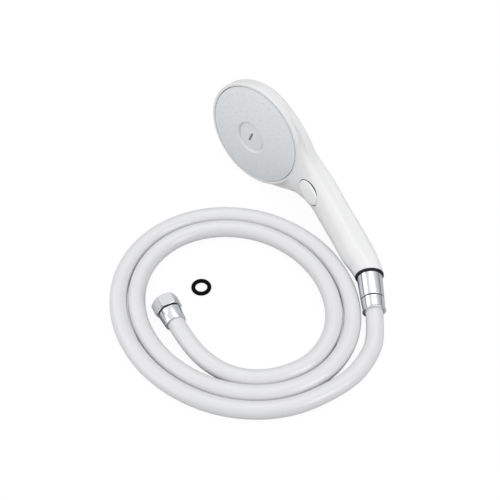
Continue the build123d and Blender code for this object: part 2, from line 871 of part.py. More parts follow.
with BuildPart() as far_nipple:
    with BuildSketch(half_plane(far_end)):
        with BuildLine():
            Polyline(
                (nipple_bore, far_flange + nipple_flange),
                (far_flange_radius, far_flange + nipple_flange),
                (far_flange_radius, far_flange),
                (nipple_radius, far_flange),
                (nipple_radius, far_hose_end),
                *barbs(far_hose_end, far_hose_end - barb_length),
                (nipple_bore, far_hose_end - barb_length),
                close=True,
            )
        make_face()
    revolve(axis=axis_of(far_end))

with BuildPart() as hose_nut:
    with BuildSketch(far_end.offset(hex_start)):
        RegularPolygon(radius=hex_flats / 2, side_count=6, major_radius=False)
    extrude(amount=hex_end - hex_start)
    chamfer(hose_nut.faces().sort_by(axis_of(far_end))[-1].edges(), length=hex_chamfer)
    with BuildSketch(far_end.offset(hex_start)):
        Circle(nipple_radius + swivel_gap)
    extrude(amount=hex_floor, mode=Mode.SUBTRACT)
    with BuildSketch(far_end.offset(hex_shoulder)):
        Circle(hex_thread_radius)
    extrude(amount=hex_thread_start - hex_shoulder, mode=Mode.SUBTRACT)
    with BuildSketch(far_end.offset(hex_thread_start)):
        Circle(hex_thread_minor)
    extrude(amount=hex_thread_length, mode=Mode.SUBTRACT)

oring_plane = Plane(origin=(*oring_at, oring_wire + hose_lift), x_dir=(1, 0, 0), z_dir=(0, -1, 0))
with BuildPart() as nut_oring:
    with BuildSketch(oring_plane):
        with Locations((oring_radius, 0)):
            Circle(oring_wire)
    revolve(axis=Axis((*oring_at, 0), (0, 0, 1)))

pieces = {
    "front_shell": front_shell,
    "back_shell": back_shell,
    "spray_plate": spray_plate,
    "centre_cap": centre_cap,
    "face_screw": face_screw,
    "plate_gasket": plate_gasket,
    "water_chamber": water_chamber,
    "spreader_disc": spreader_disc,
    "duct_seal": duct_seal,
    "valve_body": valve_body,
    "valve_bonnet": valve_bonnet,
    "stem_seal": stem_seal,
    "valve_spindle": valve_spindle,
    "poppet_seal": poppet_seal,
    "push_button": push_button,
    "latch_rotor": latch_rotor,
    "return_spring": return_spring,
    "feed_tube": feed_tube,
    "inlet_fitting": inlet_fitting,
    "inlet_strainer": inlet_strainer,
    "end_ring": end_ring,
    "union_washer": union_washer,
    "union_nut": union_nut,
    "hose_nipple": hose_nipple,
    "crimp_sleeve": crimp_sleeve,
    "hose": hose,
    "far_sleeve": far_sleeve,
    "far_nipple": far_nipple,
    "hose_nut": hose_nut,
    "nut_oring": nut_oring,
}
for label, piece in pieces.items():
    piece.part.label = label
    export_step(piece.part, f"parts/{label}.step")
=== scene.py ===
import json
import math

import bmesh
import bpy
import numpy as np
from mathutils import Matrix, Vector

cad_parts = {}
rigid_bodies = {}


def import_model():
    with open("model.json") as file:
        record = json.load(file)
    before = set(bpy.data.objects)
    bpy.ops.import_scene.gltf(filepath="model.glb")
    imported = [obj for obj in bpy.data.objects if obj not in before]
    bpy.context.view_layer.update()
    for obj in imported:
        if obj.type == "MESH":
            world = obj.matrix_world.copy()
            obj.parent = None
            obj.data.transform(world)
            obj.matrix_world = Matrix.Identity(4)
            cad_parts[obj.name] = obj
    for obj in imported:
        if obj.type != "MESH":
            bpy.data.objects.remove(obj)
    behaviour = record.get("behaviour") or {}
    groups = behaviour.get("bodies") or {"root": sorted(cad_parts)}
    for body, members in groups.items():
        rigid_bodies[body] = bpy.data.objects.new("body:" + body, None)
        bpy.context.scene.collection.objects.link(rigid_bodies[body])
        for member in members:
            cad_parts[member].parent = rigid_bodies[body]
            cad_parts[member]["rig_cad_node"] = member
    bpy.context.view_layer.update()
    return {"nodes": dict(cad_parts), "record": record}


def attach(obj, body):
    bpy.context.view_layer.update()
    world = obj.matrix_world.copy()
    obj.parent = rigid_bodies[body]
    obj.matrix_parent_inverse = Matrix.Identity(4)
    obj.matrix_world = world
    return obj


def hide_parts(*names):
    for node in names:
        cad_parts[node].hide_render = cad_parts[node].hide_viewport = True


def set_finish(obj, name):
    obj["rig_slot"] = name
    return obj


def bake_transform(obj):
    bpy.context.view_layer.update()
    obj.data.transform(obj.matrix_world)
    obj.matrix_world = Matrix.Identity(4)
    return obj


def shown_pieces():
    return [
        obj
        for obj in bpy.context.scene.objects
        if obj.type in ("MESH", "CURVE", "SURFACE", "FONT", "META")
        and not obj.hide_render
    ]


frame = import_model()
scene = bpy.context.scene
mm = 0.001
print("frame loaded", len(frame["nodes"]))

camera = {"at": (0.6259, -0.53941, 0.9644), "aim": (0.0022, -0.06941, 0.0), "lens": 92.0, "sensor": 36.0}
cameraData = bpy.data.cameras.new("camera")
cameraData.lens = camera["lens"]
cameraData.sensor_width = camera["sensor"]
cameraObject = bpy.data.objects.new("camera", cameraData)
cameraObject.location = camera["at"]
cameraObject.rotation_euler = (Vector(camera["aim"]) - Vector(camera["at"])).to_track_quat("-Z", "Y").to_euler()
scene.collection.objects.link(cameraObject)
scene.camera = cameraObject
print("camera placed")

lay = {  # millimetres and degrees
    "head": (-76.2, -5.11, 55.7246), "bearing": -78.4, "lift": 7.4, "dip": 14.55,
    "ferrule": (182.1, 0, 30.714), "ferruleTilt": 43.2, "button": (81.4, 0, 6.5), "buttonTilt": 14.0,
    "far": (41.5, -182.01, 11.5975), "farTurn": 168.7,
}
bearing, lift, dip = np.radians([lay["bearing"], lay["lift"], lay["dip"]])
faceWay = np.array([np.cos(lift) * np.cos(bearing), np.cos(lift) * np.sin(bearing), np.sin(lift)])
levelWay = np.cross((0, 0, 1), faceWay)
levelWay = levelWay / np.linalg.norm(levelWay)
handleWay = levelWay * np.cos(dip) - np.cross(faceWay, levelWay) * np.sin(dip)
sideWay = np.cross(faceWay, handleWay)


# A point of a local frame: its origin plus the three axes times the coordinates.
def place(base, points):
    return base["at"] + np.asarray(points, float) @ base["axes"]


# A frame at a point of the head's frame: its third or its first axis tilts from the handle's way towards the face's.
def tilted(point, tilt, third):
    way = handleWay * np.cos(np.radians(tilt)) + faceWay * np.sin(np.radians(tilt))
    across = np.cross(sideWay, way)
    axes = [sideWay, -across, way] if third else [way, np.cross(-across, way), -across]
    return {"at": place(headFrame, point), "axes": np.array(axes)}


headFrame = {"at": np.array(lay["head"]), "axes": np.array([handleWay, sideWay, faceWay])}
ferruleFrame = tilted(lay["ferrule"], lay["ferruleTilt"], True)
buttonFrame = tilted(lay["button"], lay["buttonTilt"], False)
farTurn = np.radians(lay["farTurn"])
farFrame = {
    "at": np.array(lay["far"]),
    "axes": np.array([[-np.sin(farTurn), np.cos(farTurn), 0], [0, 0, 1], [np.cos(farTurn), np.sin(farTurn), 0]]),
}

cord = {
    "diameter": 16.5, "start": 28.4, "first": 35.6, "touchdown": (173.0, -65.41), "floor": 8.3, "length": 1.552,
    "at": (53.3, -119.01), "bearing": 13.7, "long": 127.2, "short": 115.2, "pitch": 16.9, "lead": 0.115,
    "turn": -5.0, "step": 30.0, "count": 25, "dent": 3.0, "dentTurn": 55.0,
    "tail": ((140.2, -140.21), (123.4, -165.81), (97.8, -181.11)), "farStart": -21.0, "farEnd": 15.5,
}


# Points round an oval spiral: it winds in by one pitch a turn, and is pushed in a little where the ferrule lies.
def coilPoints():
    k = np.arange(cord["count"])
    turn = np.radians(cord["turn"] - k * cord["step"])
    dent = cord["dent"] * np.maximum(0, np.cos(turn - np.radians(cord["dentTurn"]))) ** 4
    wound = cord["pitch"] * (cord["lead"] + k * cord["step"] / 360) + dent
    swell = 1 / np.cos(np.radians(cord["step"] / 2))
    x = (cord["long"] - wound) * swell * np.cos(turn)
    y = (cord["short"] - wound) * swell * np.sin(turn)
    c, s = np.cos(np.radians(cord["bearing"])), np.sin(np.radians(cord["bearing"]))
    x, y = cord["at"][0] + x * c - y * s, cord["at"][1] + x * s + y * c
    return np.stack([x, y, np.full(len(k), cord["floor"])], -1)


route = np.concatenate([
    place(ferruleFrame, [(0, 0, cord["start"]), (0, 0, cord["start"] + cord["first"])]),
    [(*cord["touchdown"], cord["floor"])],
    coilPoints(),
    [(*point, cord["floor"]) for point in cord["tail"]],
    place(farFrame, [(0, 0, cord["farStart"]), (0, 0, cord["farEnd"])]),
]) * mm
hoseCurve = bpy.data.curves.new("hoseTube", "CURVE")
hoseCurve.dimensions = "3D"
hoseSpline = hoseCurve.splines.new("NURBS")
hoseSpline.points.add(len(route) - 1)
hoseSpline.points.foreach_set("co", np.c_[route, np.ones(len(route))].ravel())
hoseSpline.points.foreach_set("radius", np.full(len(route), cord["diameter"] / 2 * mm))
hoseSpline.order_u = 3
hoseSpline.use_endpoint_u = True
hoseSpline.resolution_u = 14
hoseSpline.use_smooth = True
hoseCurve.bevel_depth = 1  # times the radius at each point
hoseCurve.bevel_resolution = 10
hoseCurve.use_fill_caps = True
hoseTube = bpy.data.objects.new("hoseTube", hoseCurve)
scene.collection.objects.link(hoseTube)
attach(hoseTube, "hose_line")
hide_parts("hose")
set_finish(hoseTube, "white_hose")
print("hose laid", len(route))


# A closed outline with its corners rounded: each corner gives way to an arc that touches both its sides.
def rounded(corners, steps=6):
    corners = np.asarray(corners, float)
    point, radius = corners[:, :2], corners[:, 2]
    back, ahead = np.roll(point, 1, 0) - point, np.roll(point, -1, 0) - point
    back, ahead = (v / np.linalg.norm(v, axis=1)[:, None] for v in (back, ahead))
    half = np.arccos(np.clip((back * ahead).sum(1), -1, 1)) / 2
    first, last = (point + v * (radius / np.tan(half))[:, None] for v in (back, ahead))
    middle = back + ahead
    middle = middle / np.maximum(np.linalg.norm(middle, axis=1), 1e-9)[:, None]
    centre = point + middle * (radius / np.sin(half))[:, None]
    sweep = np.pi - 2 * half
    share = np.linspace(0, 1, steps)[None, :, None]
    angle = sweep[:, None, None]
    arc = np.sin((1 - share) * angle) * (first - centre)[:, None] + np.sin(share * angle) * (last - centre)[:, None]
    return (centre[:, None] + arc / np.sin(angle)).reshape(-1, 2)


# A surface of revolution: the outline's radius and height carried round the frame's third axis.
def turned(outline, base, count=128):
    outline = np.concatenate([outline, outline[:1]])
    angle = np.linspace(0, 2 * np.pi, count + 1)
    r, z = outline[:, :1], outline[:, 1:]
    local = np.stack([r * np.cos(angle), r * np.sin(angle), z + 0 * angle], -1)
    return place(base, local)


# Quads over grids of points, welded where the grids meet.
def makePiece(name, grids, body, slotName, replaced=(), sharp=40):
    vertices, faces, first = [], [], 0
    for grid in grids:
        rows, columns = grid.shape[:2]
        index = first + np.arange(rows * columns).reshape(rows, columns)
        quads = np.stack([index[:-1, :-1], index[1:, :-1], index[1:, 1:], index[:-1, 1:]], -1)
        faces.append(quads.reshape(-1, 4))
        vertices.append(grid.reshape(-1, 3) * mm)
        first += rows * columns
    mesh = bpy.data.meshes.new(name)
    mesh.from_pydata(np.concatenate(vertices).tolist(), [], np.concatenate(faces).tolist())
    work = bmesh.new()
    work.from_mesh(mesh)
    bmesh.ops.remove_doubles(work, verts=work.verts, dist=2e-6)
    bmesh.ops.recalc_face_normals(work, faces=work.faces)
    work.to_mesh(mesh)
    work.free()
    mesh.shade_smooth()
    mesh.set_sharp_from_angle(angle=math.radians(sharp))
    piece = bpy.data.objects.new(name, mesh)
    scene.collection.objects.link(piece)
    if body:
        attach(piece, body)
        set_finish(piece, slotName)
        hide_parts(*replaced)
    return piece


# The piece less a cutter, which is then dropped.
def cutAway(piece, cutter, sharp=40):
    step = piece.modifiers.new("cut", "BOOLEAN")
    step.operation = "DIFFERENCE"
    step.solver = "EXACT"
    step.object = cutter
    graph = bpy.context.evaluated_depsgraph_get()
    mesh = bpy.data.meshes.new_from_object(piece.evaluated_get(graph))
    piece.modifiers.clear()
    piece.data = mesh
    mesh.name = piece.name
    bpy.data.objects.remove(cutter)
    mesh.shade_smooth()
    mesh.set_sharp_from_angle(angle=math.radians(sharp))


# An oval prism from one height to another over a frame.
def ovalPrism(name, base, halfLong, halfShort, low, high, count=160):
    angle = np.linspace(0, 2 * np.pi, count + 1)
    share = np.array([0, 1, 1, 0])[:, None]
    height = np.array([low, low, high, high])[:, None] + 0 * angle
    local = np.stack([share * halfLong * np.cos(angle), share * halfShort * np.sin(angle), height], -1)
    return makePiece(name, [place(base, local)], None, None)


head = {"opening": 52.5, "rim": 55.7, "back": 54.9, "seam": -9.5, "edge": 1.2, "knuckle": 7.0, "dome": 11.0,
        "wall": 2.4, "ledge": 48.9, "ledgeTop": -7.5, "groove": 0.18, "seamGap": 0.02}


# Half outline of the head's back: a round edge that runs into a shallow cap, moved in by an inset.
def bowlArc(inset, count=40):
    centre, edge, depth = head["back"] - head["knuckle"], head["knuckle"] - inset, head["dome"] - inset
    capRadius = (centre**2 + depth**2 - edge**2) / (2 * (depth - edge))
    meeting = np.arctan2(capRadius - depth, centre)
    knuckle = -np.linspace(0, meeting, count // 2)
    crown = np.linspace(-meeting, -np.pi / 2, count)[1:]
    rise = capRadius - depth + head["seam"]
    return np.concatenate([
        np.stack([centre + edge * np.cos(knuckle), head["seam"] + edge * np.sin(knuckle)], -1),
        np.stack([capRadius * np.cos(crown), rise + capRadius * np.sin(crown)], -1),
    ])


rimOutline = rounded([  # radius, height and rounding of each corner
    (head["opening"], 0, 0.3), (head["rim"], 0, head["edge"]), (head["back"], head["seam"], head["groove"]),
    (head["ledge"], head["seam"], 0.2), (head["ledge"], head["ledgeTop"], 0.2),
    (head["opening"], head["ledgeTop"], 0.2),
])
makePiece("rim", [turned(rimOutline, headFrame, 256)], "handset", "white_body", ["front_shell"])
bowlOutside = bowlArc(0)
bowlOutside[0] -= (head["groove"], head["seamGap"])
makePiece(
    "bowl", [turned(np.concatenate([bowlOutside, bowlArc(head["wall"])[::-1]]), headFrame, 256)],
    "handset", "white_body", ["back_shell"],
)
print("head turned")

handle = {
    "start": 59.1, "level": -8.4, "length": 123.0, "rows": 240, "endRows": 8, "columns": 120,
    "probes": 160, "probeReach": 60, "halvings": 30, "sink": 0.03, "inside": 0.82, "blendSide": 20.0, "blendFlat": 3.0,
    "rampRadius": 53.9, "rampLow": -0.3, "rampSlope": 0.4, "rampSoft": 1.2, "rampScale": 0.93,
    "pitRadius": 53.5, "pitFloor": -8.0, "endEdge": 0.7, "seam": 0.12,
    "stations": (  # share along, share forward, tilt, half width, front bulge, side wall, rear bulge
        (-0.31, -0.005, 1.5, 37.5, 2.5, 5.0, 6.5),
        (-0.225, -0.005, 3.0, 36.0, 3.0, 6.0, 7.0),
        (-0.109, -0.005, 6.0, 33.5, 4.0, 7.0, 8.0),
        (0.0, 0.0, 9.0, 27.5, 5.0, 9.0, 7.2),
        (0.126, 0.012, 12.0, 21.3, 6.5, 11.0, 7.0),
        (0.26, 0.036, 15.0, 18.0, 8.0, 11.0, 7.3),
        (0.441, 0.1, 17.5, 16.6, 9.4, 10.0, 8.0),
        (0.6475, 0.173, 20.0, 16.0, 9.9, 10.0, 8.6),
        (0.812, 0.235, 23.0, 15.3, 10.9, 9.0, 9.5),
        (0.944, 0.283, 33.0, 14.4, 11.0, 6.0, 9.7),
        (1.0, 0.318, 43.2, 13.7, 12.7, 2.0, 12.7),
    ),
}


# Natural cubic spline: the curvatures from the three-term equations, then a cubic on each span.
def splineThrough(knots, values, at):
    gap = np.diff(knots)
    system, right = np.eye(len(knots)), np.zeros_like(values)
    inner = np.arange(1, len(knots) - 1)
    system[inner, inner - 1], system[inner, inner + 1] = gap[:-1], gap[1:]
    system[inner, inner] = 2 * (gap[:-1] + gap[1:])
    right[1:-1] = 6 * np.diff(np.diff(values, axis=0) / gap[:, None], axis=0)
    bend = np.linalg.solve(system, right)
    span = np.clip(np.searchsorted(knots, at) - 1, 0, len(gap) - 1)
    before, after, width = (at - knots[span])[:, None], (knots[span + 1] - at)[:, None], gap[span][:, None]
    curved = (bend[span] * after**3 + bend[span + 1] * before**3) / (6 * width)
    straight = (values[span] / width - bend[span] * width / 6) * after
    return curved + straight + (values[span + 1] / width - bend[span + 1] * width / 6) * before


# Distance from the head's skin: its drafted wall with the rounded front edge, and behind the seam its round edge and
# cap.
def headField(p):
    r, z = np.hypot(p[..., 0], p[..., 1]), p[..., 2]
    slope = (head["rim"] - head["back"]) / (-head["seam"] - head["edge"])
    side = r - head["rim"] - slope * np.minimum(0, z + head["edge"])
    u, v = side + head["edge"], z + head["edge"]
    front = np.hypot(np.maximum(u, 0), np.maximum(v, 0)) + np.minimum(np.maximum(u, v), 0) - head["edge"]
    centre, edge, depth = head["back"] - head["knuckle"], head["knuckle"], head["dome"]
    capRadius = (centre**2 + depth**2 - edge**2) / (2 * (depth - edge))
    top = capRadius - depth + head["seam"]
    capped = r * (top - head["seam"]) < centre * (top - z)
    behind = np.where(capped, np.hypot(r, z - top) - capRadius, np.hypot(r - centre, z - head["seam"]) - edge)
    return np.where(z > head["seam"], front, behind)


# Skin of neck and handle: in every tilted section the two half ovals' radius by angle, joined to the head by a round
# fillet that is wide at the sides and narrow in front and behind, then cut by a ramp from the rim and by the opening.
def handleSkin():
    table = np.array(handle["stations"])
    table[:, 0] = handle["start"] + handle["length"] * table[:, 0]
    table[:, 1] = handle["level"] + handle["length"] * table[:, 1]
    knots = np.r_[0, np.cumsum(np.hypot(*np.diff(table[:, :2], axis=0).T))]
    bend = np.linspace(0, np.pi / 2, handle["endRows"] + 1)[1:]
    along = np.r_[np.linspace(0, knots[-1] - handle["endEdge"], handle["rows"]),
                  knots[-1] - handle["endEdge"] * (1 - np.sin(bend))]
    x, z, tilt, wide, front, wall, rear = splineThrough(knots, table, along).T[:, :, None]
    turn = np.linspace(0, 2 * np.pi, 2 * handle["columns"] + 1)[None, :]
    up = np.sin(turn) >= 0
    bulge = np.where(up, front, rear)
    angle = np.arctan2((bulge + wall / 2) * np.sin(turn), wide * np.cos(turn))
    c, s = np.cos(angle), np.abs(np.sin(angle))
    h = wall / 2
    a, b, d = (c / wide) ** 2 + (s / bulge) ** 2, -2 * s * h / bulge**2, (h / bulge) ** 2 - 1
    oval = (-b + np.sqrt(np.maximum(b * b - 4 * a * d, 0))) / (2 * a)
    flat = wide / np.maximum(np.abs(c), 1e-6)
    radius = np.where(flat * s <= h, flat, oval)
    sideShare = np.abs(radius * c) / wide**2
    flatShare = np.maximum(radius * s - h, 0) / bulge**2
    sideways = sideShare / np.hypot(sideShare, flatShare)
    blend = handle["blendFlat"] + (handle["blendSide"] - handle["blendFlat"]) * sideways**2
    lean = np.radians(tilt)
    way = np.stack([-np.sin(lean) * np.sin(angle), np.cos(angle), np.cos(lean) * np.sin(angle)], -1)
    middle = np.stack([x + 0 * angle, 0 * angle, z + 0 * angle], -1)

    # Negative inside the skin: distances from head and handle joined by a round fillet, cut by ramp and opening.
    def cut(reach):
        p = middle + reach[..., None] * way
        near, own = headField(p) + handle["sink"], reach - radius
        fillet = np.hypot(np.maximum(blend - near, 0), np.maximum(blend - own, 0))
        joined = np.maximum(blend, np.minimum(near, own)) - fillet
        r = np.hypot(p[..., 0], p[..., 1])
        rampLevel = handle["rampLow"] + handle["rampSlope"] * (r - handle["rampRadius"])
        ramp = handle["rampScale"] * (p[..., 2] - rampLevel)
        soft = np.maximum(handle["rampSoft"] - np.abs(joined - ramp), 0) ** 2 / (4 * handle["rampSoft"])
        pit = np.minimum(handle["pitRadius"] - r, p[..., 2] - handle["pitFloor"])
        return np.maximum(np.maximum(joined, ramp) + soft, pit)

    low, step = np.zeros_like(radius), (radius + handle["probeReach"]) / handle["probes"]
    for k in range(handle["probes"]):  # the outermost point inside
        low = np.where(cut(k * step) < 0, k * step, low)
    high = low + step
    for _ in range(handle["halvings"]):
        reach = (low + high) / 2
        inside = cut(reach) < 0
        low, high = np.where(inside, reach, low), np.where(inside, high, reach)
    skin = (low + high) / 2
    left = np.maximum(knots[-1] - along, 0)[:, None]
    edge = handle["endEdge"]
    skin = skin - edge + np.sqrt(np.maximum(edge**2 - np.maximum(edge - left, 0) ** 2, 0))
    return middle, way, skin


# One half of the handle as a closed shell: the skin, an inner wall at a share of its radius, and strips round the edge.
def halfShell(name, first, last, replaced):
    middle, way, skin = (v[:, first:last + 1].copy() for v in wholeSkin)
    skin[:, [0, -1]] -= handle["seam"]
    outer, inner = (place(headFrame, middle + r[..., None] * way) for r in (skin, skin * handle["inside"]))
    ends = [np.stack([outer[k], inner[k]]) for k in (0, -1)]
    sides = [np.stack([outer[:, k], inner[:, k]], 1) for k in (0, -1)]
    return makePiece(name, [outer, inner, *ends, *sides], "handset", "white_body", replaced)


wholeSkin = handleSkin()
handleFront = halfShell("handleFront", 0, handle["columns"], ["front_shell"])
halfShell("handleBack", handle["columns"], 2 * handle["columns"], ["back_shell"])
hole = {"long": 15.2, "short": 10.8, "low": -6.0, "high": 7.0}
cutAway(handleFront, ovalPrism("cutter", buttonFrame, hole["long"], hole["short"], hole["low"], hole["high"]))
print("handle blended")

button = {"long": 14.4, "short": 9.9, "top": 1.9, "dome": 0.7, "edge": 1.6, "skirt": -3.3, "skirtRise": 0.3,
          "skirtShare": 0.97, "hollow": 0.85, "ceiling": 0.45, "rows": 16, "bendRows": 9, "count": 128,
          "gapShadeOutside": 0.4, "gapShadeInside": -0.3, "gapShadeTop": 0.1, "gapShadeLip": 0.2}
buttonTurn = np.linspace(0, 2 * np.pi, button["count"] + 1)


# Oval pad: the outline scaled from nothing to full size, high in the middle, round at its edge, then down to the skirt
# and up again inside, to a flat ceiling.
def buttonGrid():
    inner = 1 - button["edge"] / button["short"]
    share = np.linspace(0, inner, button["rows"])
    bend = np.linspace(0, np.pi / 2, button["bendRows"] + 1)[1:]
    skirt, ceiling, hollow = button["skirt"], button["ceiling"], button["hollow"]
    scale = np.r_[share, inner + (1 - inner) * np.sin(bend), 1.0, button["skirtShare"], hollow, hollow, 0.0][:, None]
    dome = button["top"] + button["dome"] * (1 - (share / inner) ** 2)
    edge = button["top"] - button["edge"] * (1 - np.cos(bend))
    height = np.r_[dome, edge, skirt + button["skirtRise"], skirt, skirt, ceiling, ceiling][:, None] + 0 * buttonTurn
    x, y = scale * button["long"] * np.cos(buttonTurn), scale * button["short"] * np.sin(buttonTurn)
    return place(buttonFrame, np.stack([x, y, height], -1))


# Near-black band round the pad, filling the gap between pad and hole: painted shade for the gap's dark inside. It is
# the pad's outline grown by a step, as a closed band whose upper outer edge is bevelled.
def gapShadeGrid():
    inside, outside, lip = button["gapShadeInside"], button["gapShadeOutside"], button["gapShadeLip"]
    skirt, top = button["skirt"], button["gapShadeTop"]
    grow = np.array([inside, inside, outside - lip, outside, outside, inside])[:, None]
    height = np.array([skirt, top, top, top - lip, skirt, skirt])[:, None] + 0 * buttonTurn
    x, y = (button["long"] + grow) * np.cos(buttonTurn), (button["short"] + grow) * np.sin(buttonTurn)
    return place(buttonFrame, np.stack([x, y, height], -1))


makePiece("buttonPad", [buttonGrid()], "button", "white_button", ["push_button"])
# Near-black band in the button's gap: painted shade.
makePiece("buttonGapShade", [gapShadeGrid()], "button", "seal_rubber")

spring = {"radius": 3.38, "wire": 0.3, "low": -6.9, "high": 0.0, "turns": 4, "steps": 160, "sides": 12}


# Coil spring: a round wire carried along a helix about the button's axis, drawn in to a point at both ends.
def springGrid():
    share = np.linspace(0, 1, spring["steps"])[:, None]
    side = np.linspace(0, 2 * np.pi, spring["sides"] + 1)
    wire = spring["wire"] * np.sqrt(1 - np.abs(2 * share - 1) ** spring["steps"])
    reach, turn = spring["radius"] + wire * np.cos(side), 2 * np.pi * spring["turns"] * share
    height = spring["low"] + (spring["high"] - spring["low"]) * share + wire * np.sin(side)
    return place(buttonFrame, np.stack([reach * np.cos(turn), reach * np.sin(turn), height], -1))


springCoil = makePiece("springCoil", [springGrid()], None, None)
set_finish(springCoil, "spring_steel")
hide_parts("return_spring")
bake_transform(springCoil)  # fixed in world space, tied to no body
print("button made")

face = {
    "radius": 51.8, "crown": 6.6, "thickness": 2.4, "skirt": 49.2, "bottom": -5.2, "edge": 0.5,
    "recess": 17.0, "floor": 3.4, "foot": 15.3, "wallBend": 1.3, "hub": 19.7, "hubLow": 2.6,
    "boss": 8.0, "bossLow": 0.5, "screwHole": 1.7, "screwHead": 3.7, "screwSeat": 2.8,
    "rings": (45.0, 39.4, 33.8, 28.2, 22.6), "spacing": 8.4,
}
faceSphere = (face["radius"] ** 2 + face["crown"] ** 2) / (2 * face["crown"])


# Height of the domed face by distance from its axis.
def crownAt(r):
    return face["crown"] - faceSphere + np.sqrt(faceSphere**2 - r**2)


# Half outline of the spray plate: floor of the middle recess, its sloped wall, the dome, the skirt and the underside.
def plateOutline():
    share = np.linspace(0, 1, 12)
    deep = crownAt(face["recess"]) - face["floor"]
    wall = np.stack([face["foot"] + (face["recess"] - face["foot"]) * share,
                     face["floor"] + deep * np.sin(share * np.pi / 2) ** face["wallBend"]], -1)
    dome = np.linspace(face["recess"], face["radius"] - face["edge"], 60)[1:]
    bend = np.linspace(0, np.pi / 2, 6)[1:]
    edgeHigh = crownAt(face["radius"] - face["edge"])
    under = np.linspace(face["skirt"], face["hub"], 20)
    return np.concatenate([
        [(face["screwHead"], face["floor"])], wall, np.stack([dome, crownAt(dome)], -1),
        np.stack([face["radius"] - face["edge"] * (1 - np.sin(bend)),
                  edgeHigh - face["edge"] * (1 - np.cos(bend))], -1),
        [(face["radius"], face["bottom"]), (face["skirt"], face["bottom"])],
        np.stack([under, crownAt(under) - face["thickness"]], -1),
        [(face["hub"], face["hubLow"]), (face["boss"], face["hubLow"]), (face["boss"], face["bossLow"]),
         (face["screwHole"], face["bossLow"]), (face["screwHole"], face["screwSeat"]),
         (face["screwHead"], face["screwSeat"])],
    ])


makePiece("sprayFace", [turned(plateOutline(), headFrame, 256)], "handset", "grey_face", ["spray_plate"], 50)

cap = {"radius": 15.0, "centre": 5.2, "rim": 3.9, "edge": 0.5, "slot": (11.0, 2.4), "slotDepth": 0.4, "slotTurn": 87.0,
       "clear": 3.4, "shadeSheetTrim": 0.04, "shadeSheetLow": 0.02, "shadeSheetHigh": 0.2}


# Height of the cap, which is sunk in the face and slightly domed.
def capAt(r):
    return cap["centre"] - (cap["centre"] - cap["rim"]) * (r / cap["radius"]) ** 2


capTop = np.linspace(0, cap["radius"] - cap["edge"], 20)
capBend = np.linspace(0, np.pi / 2, 6)[1:]
capOutline = np.concatenate([
    np.stack([capTop, capAt(capTop)], -1),
    np.stack([cap["radius"] - cap["edge"] * (1 - np.sin(capBend)),
              capAt(capTop[-1]) - cap["edge"] * (1 - np.cos(capBend))], -1),
    [(cap["radius"], face["floor"]), (0, face["floor"])],
])
faceCap = makePiece("faceCap", [turned(capOutline, headFrame, 160)], "handset", "grey_face", ["centre_cap"])


# A slot's prism: two half rounds joined by straight sides, turned about the head's axis, from one height to another.
def slotPrism(name, trim, low, high, body=None, slotName=None):
    length, width = np.array(cap["slot"]) - trim
    angle = np.linspace(-np.pi / 2, np.pi / 2, 17)
    right = np.stack([(length - width) / 2 + width / 2 * np.cos(angle), width / 2 * np.sin(angle)], -1)
    loop = np.concatenate([right, -right, right[:1]])
    c, s = np.cos(np.radians(cap["slotTurn"])), np.sin(np.radians(cap["slotTurn"]))
    loop = loop @ np.array([[c, s], [-s, c]])
    share = np.array([0, 1, 1, 0])[:, None, None]
    height = np.array([low, low, high, high])[:, None, None] + 0 * loop[None, :, :1]
    return makePiece(name, [place(headFrame, np.concatenate([share * loop[None], height], -1))], body, slotName)


slotFloor = cap["centre"] - cap["slotDepth"]
cutAway(faceCap, slotPrism("slotCutter", 0, slotFloor, cap["centre"] + cap["clear"]))
# Dark grey sheet just above the slot's floor: painted shade standing in for the slot's shadow.
slotPrism("slotShadeSheet", cap["shadeSheetTrim"], slotFloor + cap["shadeSheetLow"], slotFloor + cap["shadeSheetHigh"], "handset",
          "black_ring")

nozzle = {
    "outline": (  # radius and height
        (0.0, -0.6), (1.0, -0.6), (1.0, 0.02), (0.9, 0.16), (0.75, 0.2), (0.6, 0.14), (0.5, -0.4), (0.0, -0.4),
    ),
    "count": 16,
}


# Soft nozzles: one small turned outline set at every hole of the rings, on the dome.
def nozzleGrids():
    outline = np.array(nozzle["outline"])
    angle = np.linspace(0, 2 * np.pi, nozzle["count"] + 1)
    r, z = outline[:, :1], outline[:, 1:]
    one = np.stack([r * np.cos(angle), r * np.sin(angle), z + 0 * angle], -1)
    spots = []
    for ring in face["rings"]:
        count = round(2 * np.pi * ring / face["spacing"])
        turn = np.arange(count) * 2 * np.pi / count
        spots.append(np.stack([ring * np.cos(turn), ring * np.sin(turn), crownAt(ring) + 0 * turn], -1))
    return [place(headFrame, one + spot) for spot in np.concatenate(spots)]


makePiece("nozzles", nozzleGrids(), "handset", "grey_face")
print("face made")

union = {
    "bore": 10.6, "ring": 13.6, "ringStart": 0.02, "ringEnd": 1.9, "nut": 12.1, "nutEnd": 26.0, "bed": 16.7,
    "neck": 6.9, "sleeve": 11.1, "sleeveStart": 27.0, "mouth": 10.4, "mouthEnd": 38.2, "lip": 11.2, "lipStart": 39.1,
    "sleeveEnd": 39.8, "hose": 8.4, "hoseStart": 28.4, "nipple": 6.75,
}
makePiece("endRing", [turned(rounded([  # radius, height and rounding of each corner, as in the outlines below
    (union["bore"], union["ringStart"], 0.2), (union["ring"], union["ringStart"], 0.3),
    (union["ring"], union["ringEnd"], 0.6), (union["bore"], union["ringEnd"], 0.2),
]), ferruleFrame)], "handset", "black_ring", ["end_ring"])
makePiece("unionNut", [turned(rounded([
    (union["bore"], union["ringEnd"], 0.2), (union["nut"], union["ringEnd"], 0.5),
    (union["sleeve"], union["nutEnd"], 0.45), (union["neck"], union["nutEnd"], 0.2),
    (union["neck"], union["bed"], 0.2), (union["bore"], union["bed"], 0.2),
]), ferruleFrame)], "handset", "chrome_metal", ["union_nut"])
